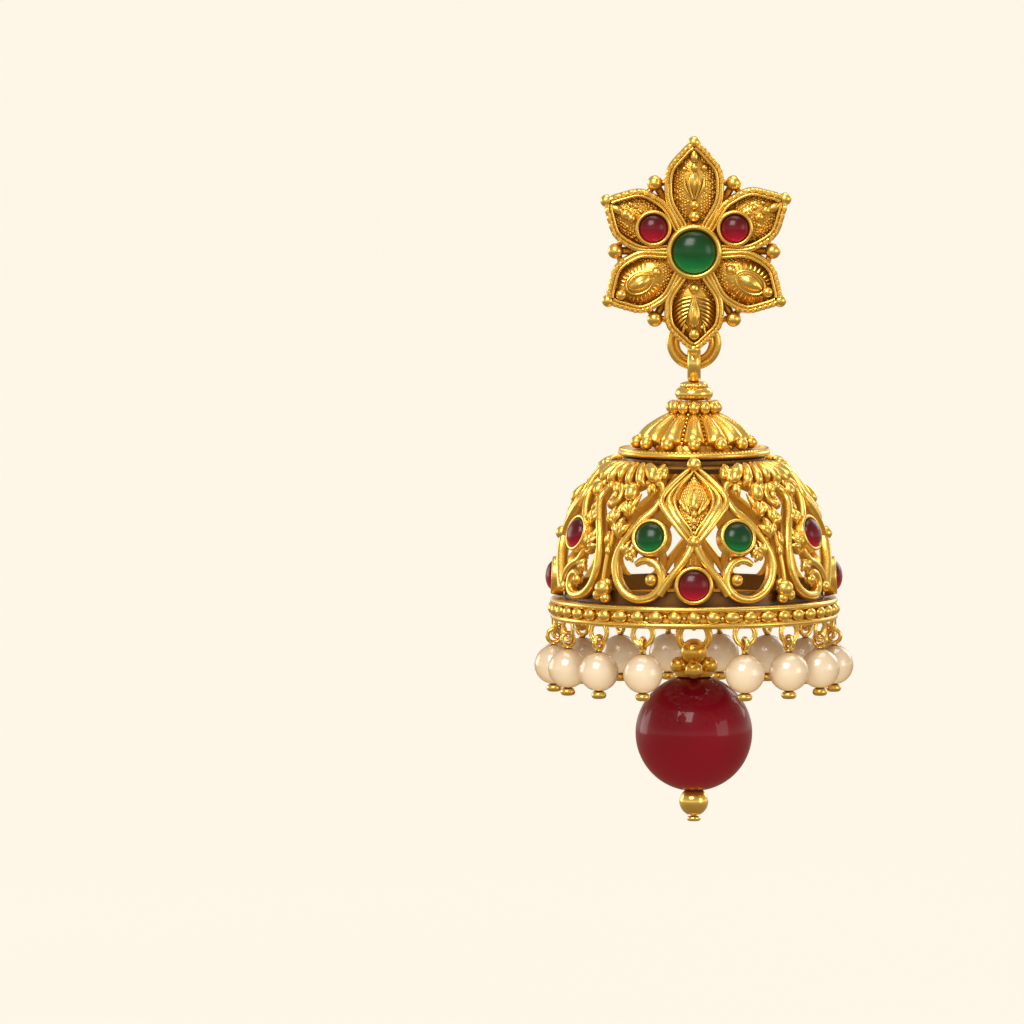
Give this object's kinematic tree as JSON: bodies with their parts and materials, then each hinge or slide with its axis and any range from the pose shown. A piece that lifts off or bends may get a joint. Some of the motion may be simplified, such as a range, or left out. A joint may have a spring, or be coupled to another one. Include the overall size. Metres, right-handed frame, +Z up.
{
  "type": "jhumka earring",
  "caption": "Flower stud earring with a pierced bell that swings from a ring, a rim of hanging pearls and a bead drop inside.",
  "frame": {"origin": "centre of the flower's flat back, where the ear post leaves it", "axes": "+Z up as it hangs, -Y to the front, the ear post along +Y"},
  "size_m": [0.0318, 0.031, 0.0688],
  "materials": {
    "stud_gold": "antique gold plate with dark recesses",
    "pin_gold": "polished gold plate",
    "cap_gold": "antique gold plate with dark flutes",
    "bell_gold": "antique gold plate with dark recesses",
    "bright_gold": "polished gold plate",
    "green_stone": "glossy deep green cabochon",
    "ruby_stone": "glossy deep red cabochon",
    "ruby_bead": "glossy opaque crimson",
    "pearl": "cream nacre with a soft sheen"
  },
  "bodies": {
    "stud": {"flower_stud": "stud_gold", "centre_green_stone": "green_stone", "flower_ruby_left": "ruby_stone", "flower_ruby_right": "ruby_stone"},
    "bell": {"hanging_pin": "pin_gold", "crown_cap": "cap_gold", "bell": "bell_gold", "front_green_stone_a": "green_stone", "front_green_stone_b": "green_stone", "back_green_stone_a": "green_stone", "back_green_stone_b": "green_stone", "right_ruby_stone_a": "ruby_stone", "right_ruby_stone_b": "ruby_stone", "left_ruby_stone_a": "ruby_stone", "left_ruby_stone_b": "ruby_stone", "front_low_ruby": "ruby_stone", "right_low_ruby": "ruby_stone", "back_low_ruby": "ruby_stone", "left_low_ruby": "ruby_stone", "pearl_pin_01": "bright_gold", "pearl_pin_02": "bright_gold", "pearl_pin_03": "bright_gold", "pearl_pin_04": "bright_gold", "pearl_pin_05": "bright_gold", "pearl_pin_06": "bright_gold", "pearl_pin_07": "bright_gold", "pearl_pin_08": "bright_gold", "pearl_pin_09": "bright_gold", "pearl_pin_10": "bright_gold", "pearl_pin_11": "bright_gold", "pearl_pin_12": "bright_gold", "pearl_pin_13": "bright_gold", "pearl_pin_14": "bright_gold", "pearl_pin_15": "bright_gold", "pearl_pin_16": "bright_gold", "pearl_01": "pearl", "pearl_02": "pearl", "pearl_03": "pearl", "pearl_04": "pearl", "pearl_05": "pearl", "pearl_06": "pearl", "pearl_07": "pearl", "pearl_08": "pearl", "pearl_09": "pearl", "pearl_10": "pearl", "pearl_11": "pearl", "pearl_12": "pearl", "pearl_13": "pearl", "pearl_14": "pearl", "pearl_15": "pearl", "pearl_16": "pearl"},
    "drop": {"drop_hanger": "bright_gold", "drop_bead": "ruby_bead", "drop_end_ball": "bright_gold"}
  },
  "joints": [
    {"name": "bell_swing", "type": "hinge", "parent": "stud", "child": "bell", "pos_m": [0, 0.0013, -0.01138], "axis": [1, 0, 0], "range_deg": [-45, 45]},
    {"name": "drop_swing", "type": "hinge", "parent": "bell", "child": "drop", "pos_m": [0, 0.0013, -0.03798], "axis": [0, 1, 0], "range_deg": [-35, 35]}
  ]
}
